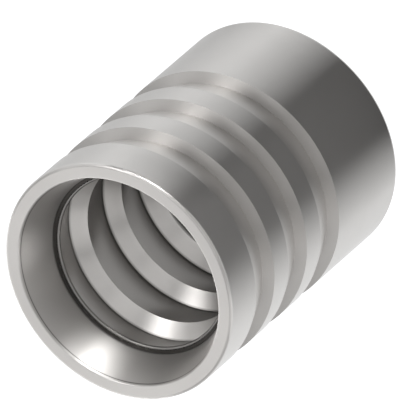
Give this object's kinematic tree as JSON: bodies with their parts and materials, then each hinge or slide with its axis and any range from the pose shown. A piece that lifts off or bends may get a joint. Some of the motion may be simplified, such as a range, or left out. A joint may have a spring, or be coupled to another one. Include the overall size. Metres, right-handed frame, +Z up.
{
  "type": "crimp hose ferrule",
  "caption": "One-piece crimp ferrule for a hydraulic hose: smooth barrel with ramped outer grooves, belled mouth, inner gripping teeth and a collar for the stem.",
  "frame": {"origin": "centre of the flat foot at the stem end, on the ferrule's axis", "axes": "+Z up the axis from the stem end to the mouth that takes the hose; X and Y are equal, because the part is round"},
  "size_m": [0.028, 0.028, 0.0356],
  "materials": {
    "steel": "satin turned, clear zinc"
  },
  "bodies": {
    "root": {"ferrule": "steel"}
  },
  "joints": []
}
